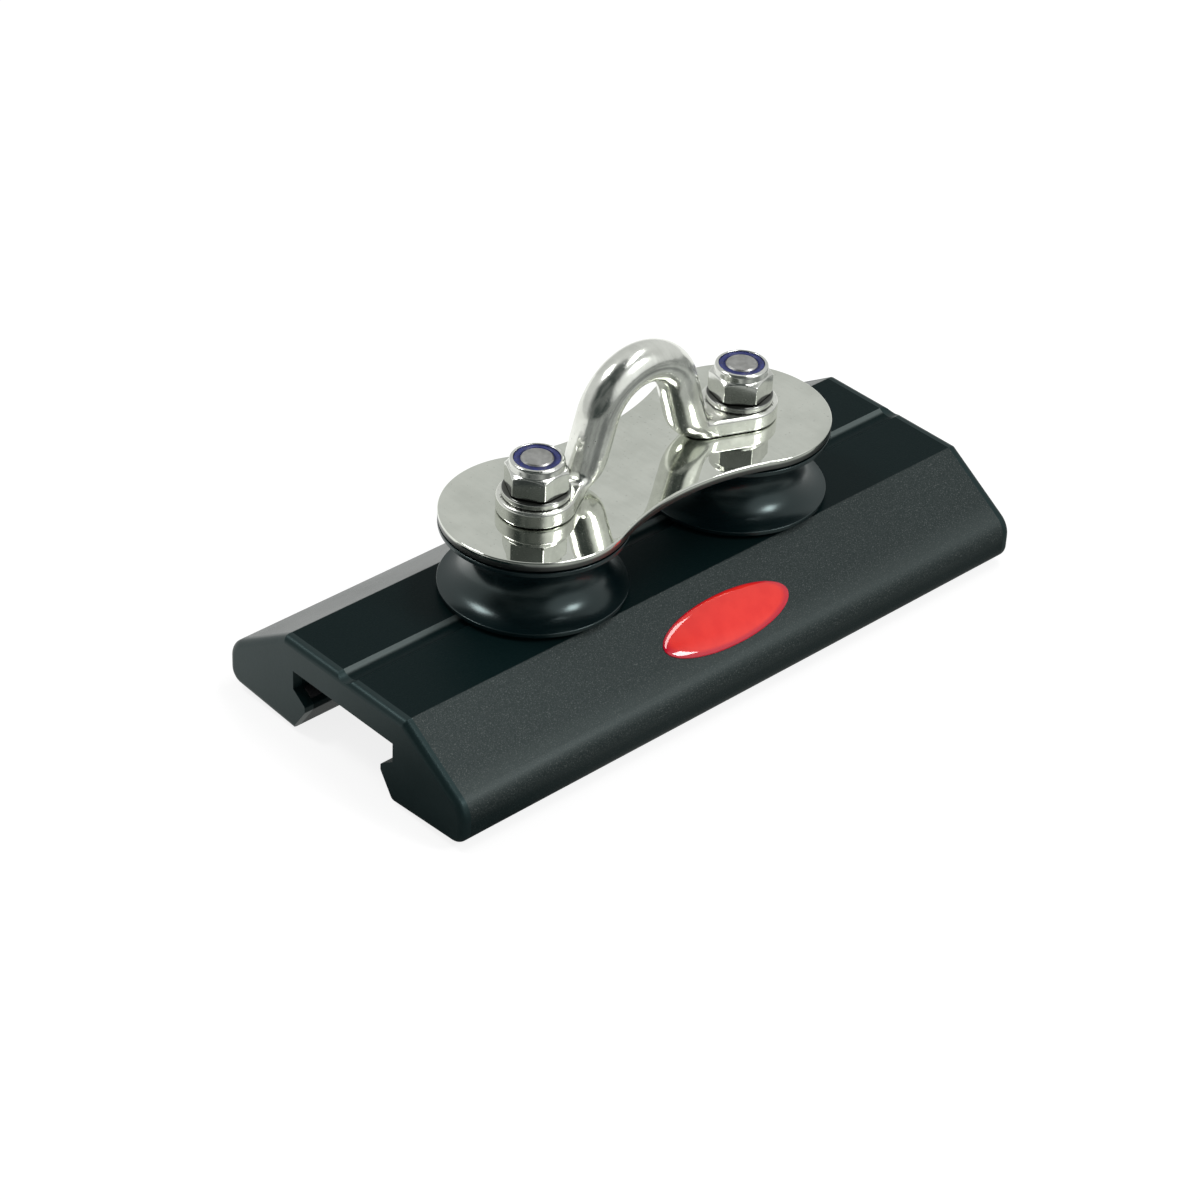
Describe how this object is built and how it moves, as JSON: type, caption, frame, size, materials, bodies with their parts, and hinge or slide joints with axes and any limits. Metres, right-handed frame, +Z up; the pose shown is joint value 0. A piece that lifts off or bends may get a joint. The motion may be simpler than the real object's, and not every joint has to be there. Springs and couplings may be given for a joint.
{
  "type": "mainsheet traveller car",
  "caption": "Low black car with a lipped channel below, two sheaves under a dog-bone plate, a round-bar bow between two lock nuts and a plain red oval on its side.",
  "frame": {"origin": "midway along the car, on its centre line, at the level of the lowest edges of the skirts", "axes": "+X along the car to the right-hand end cap, +Y across it away from the badge, +Z up towards the bow"},
  "size_m": [0.173, 0.08, 0.0754],
  "materials": {
    "anodised_body": "hard black anodised, satin with a fine sparkle",
    "cap_moulding": "black moulding, satin",
    "slide_rod": "low-friction black acetal, smooth",
    "polished_steel": "polished stainless steel",
    "turned_steel": "turned stainless steel",
    "sheave_black": "black, turned and polished",
    "nylon_ring": "dark blue nylon",
    "badge_red": "clear-coated bright red resin"
  },
  "bodies": {
    "car": {"car_body": "anodised_body", "end_cap_left": "cap_moulding", "end_cap_right": "cap_moulding", "slide_rod_upper_near": "slide_rod", "slide_rod_upper_far": "slide_rod", "slide_rod_lower_near": "slide_rod", "slide_rod_lower_far": "slide_rod", "axle_bolt_left": "turned_steel", "sheave_spacer_left": "turned_steel", "sheave_bush_left": "turned_steel", "nut_washer_left": "polished_steel", "lock_nut_left": "polished_steel", "nut_insert_left": "nylon_ring", "axle_bolt_right": "turned_steel", "sheave_spacer_right": "turned_steel", "sheave_bush_right": "turned_steel", "nut_washer_right": "polished_steel", "lock_nut_right": "polished_steel", "nut_insert_right": "nylon_ring", "top_plate": "polished_steel", "bow": "polished_steel", "badge": "badge_red"},
    "left_sheave": {"sheave_left": "sheave_black"},
    "right_sheave": {"sheave_right": "sheave_black"}
  },
  "joints": [
    {"name": "sheave_spin_left", "type": "hinge", "parent": "car", "child": "left_sheave", "pos_m": [-0.0314, 0, 0.0333], "axis": [0, 0, 1], "continuous": true},
    {"name": "sheave_spin_right", "type": "hinge", "parent": "car", "child": "right_sheave", "pos_m": [0.0314, 0, 0.0333], "axis": [0, 0, 1], "continuous": true}
  ]
}
